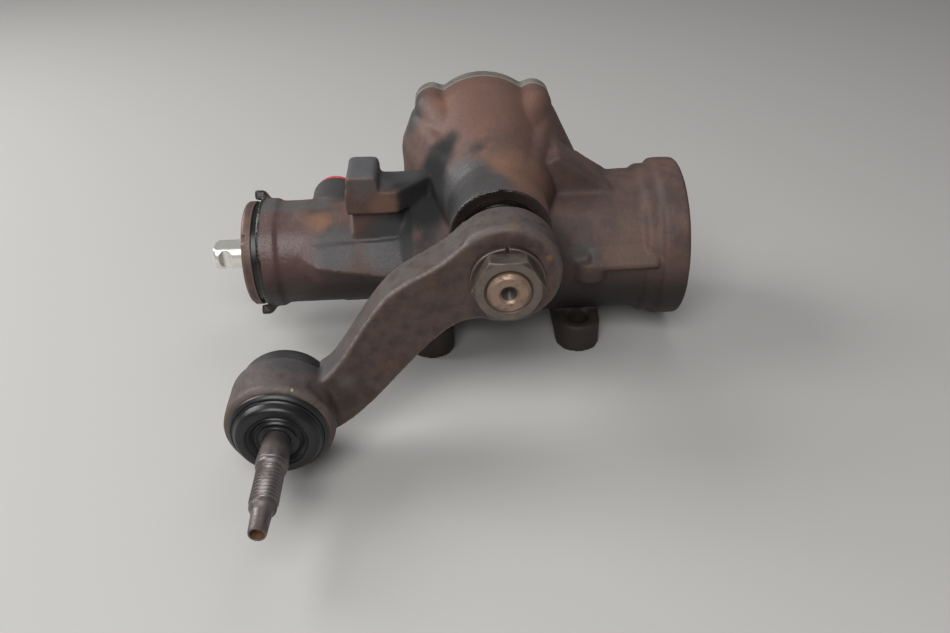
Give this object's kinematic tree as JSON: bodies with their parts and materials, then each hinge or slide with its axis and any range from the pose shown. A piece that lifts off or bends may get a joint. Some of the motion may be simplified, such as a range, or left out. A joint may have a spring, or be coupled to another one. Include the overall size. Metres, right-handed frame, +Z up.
{
  "type": "steering gearbox",
  "caption": "Recirculating-ball power steering gearbox with splined input shaft, side cover, pitman arm and ball-joint stud.",
  "frame": {"origin": "middle of the four mounting holes, on the mounting face", "axes": "+X along the worm from the input shaft to the end plug, +Y from the pitman arm to the side cover, +Z up from the mounting face"},
  "size_m": [0.294, 0.305, 0.149],
  "materials": {
    "housing_casting": "rusty cast iron with oil stains",
    "cover_casting": "grey cast iron",
    "gasket": "pressed fibre",
    "bolt_steel": "dull plated steel",
    "shaft_steel": "ground steel, browned",
    "machined_steel": "ground steel",
    "input_steel": "bright bare steel",
    "bearing_steel": "polished bearing steel",
    "spring_steel": "oiled spring steel",
    "bronze": "sintered bronze",
    "arm_forging": "brown forged steel",
    "nut_steel": "brown oxidised steel",
    "stud_steel": "dark steel with rust",
    "lock_nut_steel": "brown oxidised steel",
    "cap_steel": "dark grey painted steel",
    "seat_plastic": "hard bearing plastic",
    "black_rubber": "black rubber",
    "red_plastic": "red moulded plastic"
  },
  "bodies": {
    "housing_body": {"housing": "housing_casting", "side_cover": "cover_casting", "side_cover_gasket": "gasket", "cover_bolts": "bolt_steel", "cover_bushing": "bronze", "lash_adjuster_screw": "bolt_steel", "lash_adjuster_nut": "bolt_steel", "pitman_needle_bearing": "bearing_steel", "pitman_inner_seal": "black_rubber", "pitman_backup_washer": "spring_steel", "pitman_outer_seal": "black_rubber", "pitman_retaining_ring": "spring_steel", "inner_thrust_bearing": "bearing_steel", "outer_thrust_bearing": "bearing_steel", "adjuster_plug": "machined_steel", "adjuster_lock_nut": "lock_nut_steel", "adjuster_seal": "black_rubber", "stub_bearing": "bearing_steel", "stub_seal": "black_rubber", "stub_dust_seal": "black_rubber", "stub_retaining_ring": "spring_steel", "end_plug": "machined_steel", "end_plug_o_ring": "black_rubber", "end_retaining_ring": "spring_steel", "port_seats": "machined_steel", "port_caps": "red_plastic"},
    "sector_body": {"pitman_shaft": "shaft_steel", "pitman_arm": "arm_forging", "lock_washer": "nut_steel", "pitman_nut": "nut_steel", "socket_cap": "cap_steel", "socket_seat": "seat_plastic", "preload_spring": "spring_steel", "boot_ring": "black_rubber", "dust_boot": "black_rubber"},
    "rack_body": {"rack_piston": "machined_steel", "piston_ring": "spring_steel", "rack_piston_plug": "machined_steel", "ball_guides": "machined_steel", "guide_clamp": "machined_steel", "clamp_screws": "bolt_steel", "recirculating_balls": "bearing_steel"},
    "worm_body": {"worm_shaft": "machined_steel", "valve_body": "machined_steel", "valve_seal_rings": "spring_steel"},
    "input_body": {"stub_shaft": "input_steel", "spool_valve": "machined_steel", "torsion_bar": "machined_steel"},
    "shell_body": {"ball_shell": "machined_steel"},
    "stud_body": {"ball_stud": "stud_steel"}
  },
  "joints": [
    {"name": "sector_turn", "type": "hinge", "parent": "housing_body", "child": "sector_body", "pos_m": [-0.0044, 0, 0.1], "axis": [0, 1, 0], "range_deg": [-43, 43]},
    {"name": "rack_slide", "type": "slide", "parent": "housing_body", "child": "rack_body", "axis": [1, 0, 0], "range_m": [-0.017, 0.017]},
    {"name": "worm_spin", "type": "hinge", "parent": "housing_body", "child": "worm_body", "pos_m": [-0.0044, 0, 0.056], "axis": [1, 0, 0], "range_deg": [-543, 543]},
    {"name": "valve_twist", "type": "hinge", "parent": "worm_body", "child": "input_body", "pos_m": [-0.0704, 0, 0.056], "axis": [1, 0, 0], "range_deg": [-7, 7], "stiffness_Nm_per_rad": 80},
    {"name": "stud_tilt", "type": "hinge", "parent": "sector_body", "child": "shell_body", "pos_m": [-0.1243, -0.136, 0.0361], "axis": [-0.8825, 0, -0.4703], "range_deg": [-15, 15], "deforming": ["dust_boot"]},
    {"name": "stud_spin", "type": "hinge", "parent": "shell_body", "child": "stud_body", "pos_m": [-0.1243, -0.136, 0.0361], "axis": [0, 1, 0], "continuous": true}
  ],
  "couplings": [
    {"joint": "rack_slide", "follows": "sector_turn", "m_per_rad": -0.0225},
    {"joint": "worm_spin", "follows": "sector_turn", "ratio": 12.622}
  ]
}
